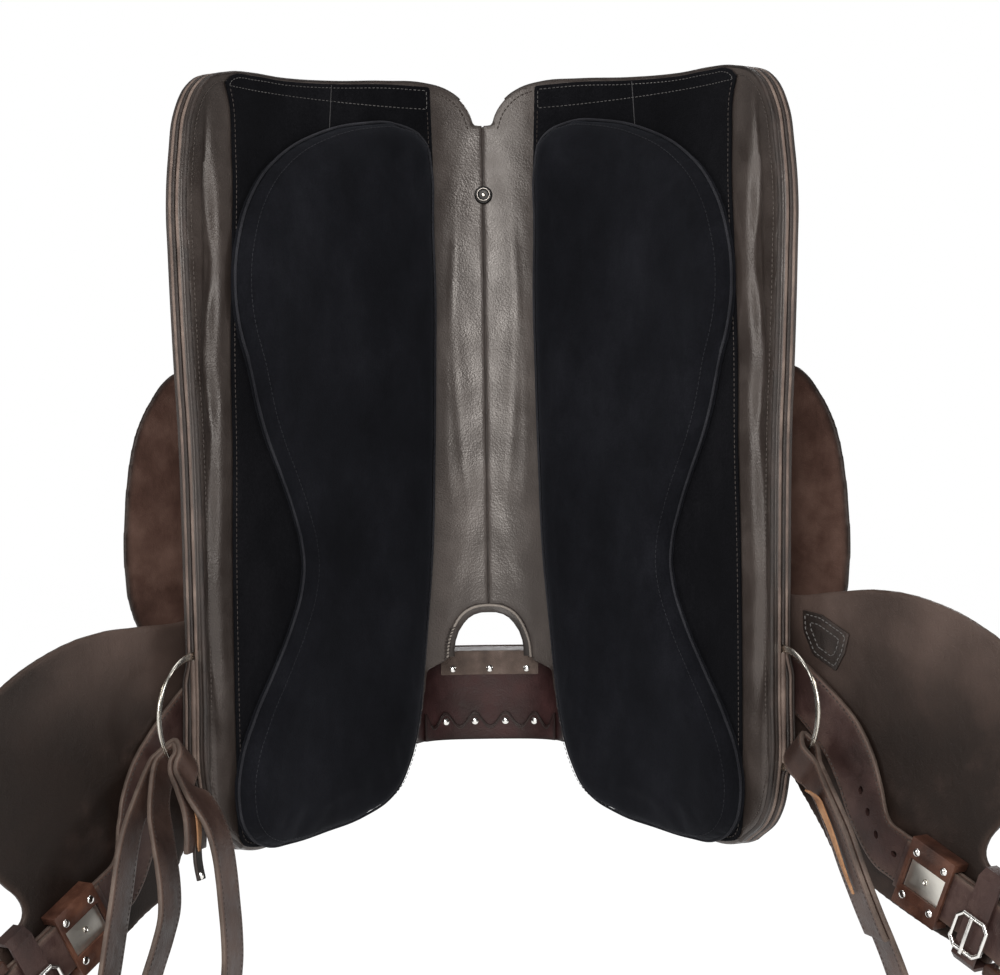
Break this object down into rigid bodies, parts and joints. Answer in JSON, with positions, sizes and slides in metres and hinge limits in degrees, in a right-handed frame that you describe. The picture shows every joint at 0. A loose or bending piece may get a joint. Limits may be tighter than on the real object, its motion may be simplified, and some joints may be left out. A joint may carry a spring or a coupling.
{
  "type": "treeless western saddle",
  "caption": "Treeless western saddle with stiff fork and cantle, lift-off foam pads, swinging fenders, sliding leather sleeves, bell stirrups and cinch straps.",
  "frame": {"origin": "on the spine seam at the lining's face, halfway along the skirts", "axes": "+Z towards the cantle, +X to the off side, +Y from the horse's back towards the seat; the picture looks along +Y"},
  "size_m": [1.0072, 0.6747, 0.8757],
  "materials": {
    "billet": "soft sheen",
    "billet_lace": "rough",
    "buckle_tongue_left": "satin",
    "buckle_tongue_right": "satin",
    "cantle": "matt",
    "cantle_roll": "soft sheen",
    "fender_left": "soft sheen",
    "fender_right": "soft sheen",
    "fork": "matt",
    "ground_seat": "matt",
    "gullet_cover": "soft sheen",
    "gullet_edging": "soft sheen",
    "gullet_nail_front_1": "satin",
    "gullet_nail_front_2": "satin",
    "gullet_nail_front_3": "satin",
    "gullet_nail_front_4": "satin",
    "gullet_nail_rear_1": "satin",
    "gullet_nail_rear_2": "satin",
    "gullet_nail_rear_3": "satin",
    "hand_hole_binding": "soft sheen",
    "hanger_left": "soft sheen",
    "hanger_right": "soft sheen",
    "hobble_buckle_left": "satin",
    "hobble_buckle_right": "satin",
    "hobble_strap_left": "soft sheen",
    "hobble_strap_right": "soft sheen",
    "hook_panel_left": "matt",
    "hook_panel_right": "matt",
    "horn": "matt",
    "horn_cap": "soft sheen",
    "keeper_left": "soft sheen",
    "keeper_right": "soft sheen",
    "latigo": "soft sheen",
    "latigo_lace": "rough",
    "lining_left": "soft sheen",
    "lining_right": "soft sheen",
    "pad_left": "matt",
    "pad_right": "matt",
    "rear_jockey_left": "soft sheen",
    "rear_jockey_right": "soft sheen",
    "rigging_plate_left": "satin",
    "rigging_plate_right": "satin",
    "seat_cushion": "soft sheen",
    "seat_jockey_left": "soft sheen",
    "seat_jockey_right": "soft sheen",
    "skirt_left": "soft sheen",
    "skirt_right": "soft sheen",
    "sleeve_left": "satin",
    "sleeve_right": "satin",
    "spine_snap": "satin",
    "stirrup_bolt_left": "satin",
    "stirrup_bolt_right": "satin",
    "stirrup_leather_left": "soft sheen",
    "stirrup_leather_right": "soft sheen",
    "stirrup_left": "soft sheen",
    "stirrup_right": "soft sheen",
    "swell_cover": "soft sheen"
  },
  "bodies": {
    "saddle": {"lining_right": "lining_right", "lining_left": "lining_left", "hook_panel_right": "hook_panel_right", "hook_panel_left": "hook_panel_left", "skirt_right": "skirt_right", "skirt_left": "skirt_left", "rigging_plate_right": "rigging_plate_right", "rigging_plate_left": "rigging_plate_left", "hand_hole_binding": "hand_hole_binding", "spine_snap": "spine_snap", "fork": "fork", "gullet_cover": "gullet_cover", "gullet_edging": "gullet_edging", "gullet_nail_rear_1": "gullet_nail_rear_1", "gullet_nail_rear_2": "gullet_nail_rear_2", "gullet_nail_rear_3": "gullet_nail_rear_3", "gullet_nail_front_1": "gullet_nail_front_1", "gullet_nail_front_2": "gullet_nail_front_2", "gullet_nail_front_3": "gullet_nail_front_3", "gullet_nail_front_4": "gullet_nail_front_4", "swell_cover": "swell_cover", "horn": "horn", "horn_cap": "horn_cap", "ground_seat": "ground_seat", "seat_cushion": "seat_cushion", "cantle": "cantle", "cantle_roll": "cantle_roll", "rear_jockey_right": "rear_jockey_right", "rear_jockey_left": "rear_jockey_left"},
    "pad_right": {"pad_right": "pad_right"},
    "jockey_right": {"seat_jockey_right": "seat_jockey_right"},
    "hanger_right": {"hanger_right": "hanger_right"},
    "fender_right": {"fender_right": "fender_right", "stirrup_leather_right": "stirrup_leather_right", "hobble_strap_right": "hobble_strap_right", "hobble_buckle_right": "hobble_buckle_right"},
    "sleeve_right": {"sleeve_right": "sleeve_right", "keeper_right": "keeper_right"},
    "tongue_right": {"buckle_tongue_right": "buckle_tongue_right"},
    "stirrup_right": {"stirrup_right": "stirrup_right", "stirrup_bolt_right": "stirrup_bolt_right"},
    "pad_left": {"pad_left": "pad_left"},
    "jockey_left": {"seat_jockey_left": "seat_jockey_left"},
    "hanger_left": {"hanger_left": "hanger_left"},
    "fender_left": {"fender_left": "fender_left", "stirrup_leather_left": "stirrup_leather_left", "hobble_strap_left": "hobble_strap_left", "hobble_buckle_left": "hobble_buckle_left"},
    "sleeve_left": {"sleeve_left": "sleeve_left", "keeper_left": "keeper_left"},
    "tongue_left": {"buckle_tongue_left": "buckle_tongue_left"},
    "stirrup_left": {"stirrup_left": "stirrup_left", "stirrup_bolt_left": "stirrup_bolt_left"},
    "latigo": {"latigo": "latigo", "latigo_lace": "latigo_lace"},
    "billet": {"billet": "billet", "billet_lace": "billet_lace"}
  },
  "joints": [
    {"name": "pad_release_right", "type": "slide", "parent": "saddle", "child": "pad_right", "axis": [0, -1, 0], "range_m": [0, 0.06]},
    {"name": "fender_lift_right", "type": "hinge", "parent": "saddle", "child": "hanger_right", "pos_m": [0.12662, -0.02429, -0.1016], "axis": [0, 0, 1], "range_deg": [0, 50]},
    {"name": "jockey_lift_right", "type": "hinge", "parent": "saddle", "child": "jockey_right", "pos_m": [0.11452, -0.01496, 0], "axis": [0, 0, 1], "range_deg": [0, 50]},
    {"name": "fender_swing_right", "type": "hinge", "parent": "hanger_right", "child": "fender_right", "pos_m": [0.16789, -0.05885, -0.1016], "axis": [-0.766, -0.6428, 0], "range_deg": [-7, 60]},
    {"name": "sleeve_slide_right", "type": "slide", "parent": "fender_right", "child": "sleeve_right", "axis": [-0.5849, 0.6971, 0.4147], "range_m": [0, 0.03]},
    {"name": "tongue_hinge_right", "type": "hinge", "parent": "fender_right", "child": "tongue_right", "pos_m": [0.36385, -0.31992, -0.35132], "axis": [-0.5849, 0.6971, 0.4147], "range_deg": [0, 90]},
    {"name": "stirrup_swing_right", "type": "hinge", "parent": "fender_right", "child": "stirrup_right", "pos_m": [0.3898, -0.33389, -0.366], "axis": [0.2666, -0.3177, 0.91], "range_deg": [-35, 35]},
    {"name": "pad_release_left", "type": "slide", "parent": "saddle", "child": "pad_left", "axis": [0, -1, 0], "range_m": [0, 0.06]},
    {"name": "fender_lift_left", "type": "hinge", "parent": "saddle", "child": "hanger_left", "pos_m": [-0.12662, -0.02429, -0.1016], "axis": [0, 0, -1], "range_deg": [0, 50]},
    {"name": "jockey_lift_left", "type": "hinge", "parent": "saddle", "child": "jockey_left", "pos_m": [-0.11452, -0.01496, 0], "axis": [0, 0, -1], "range_deg": [0, 50]},
    {"name": "fender_swing_left", "type": "hinge", "parent": "hanger_left", "child": "fender_left", "pos_m": [-0.16789, -0.05885, -0.1016], "axis": [-0.766, 0.6428, 0], "range_deg": [-2, 65]},
    {"name": "sleeve_slide_left", "type": "slide", "parent": "fender_left", "child": "sleeve_left", "axis": [0.5481, 0.6532, 0.5225], "range_m": [0, 0.03]},
    {"name": "tongue_hinge_left", "type": "hinge", "parent": "fender_left", "child": "tongue_left", "pos_m": [-0.34272, -0.29475, -0.38918], "axis": [-0.5481, -0.6532, -0.5225], "range_deg": [0, 90]},
    {"name": "stirrup_swing_left", "type": "hinge", "parent": "fender_left", "child": "stirrup_left", "pos_m": [-0.36739, -0.30719, -0.40709], "axis": [0.3359, 0.4003, -0.8526], "range_deg": [-35, 35]},
    {"name": "latigo_swing", "type": "hinge", "parent": "saddle", "child": "latigo", "pos_m": [-0.25014, -0.20142, -0.23996], "axis": [-0.1531, -0.9882, 0], "range_deg": [-1, 6]},
    {"name": "billet_swing", "type": "hinge", "parent": "saddle", "child": "billet", "pos_m": [0.25014, -0.20142, -0.23996], "axis": [0.536, -0.8442, 0], "range_deg": [-6, 6]}
  ],
  "couplings": [
    {"joint": "jockey_lift_right", "follows": "fender_lift_right", "ratio": 1},
    {"joint": "jockey_lift_left", "follows": "fender_lift_left", "ratio": 1}
  ]
}
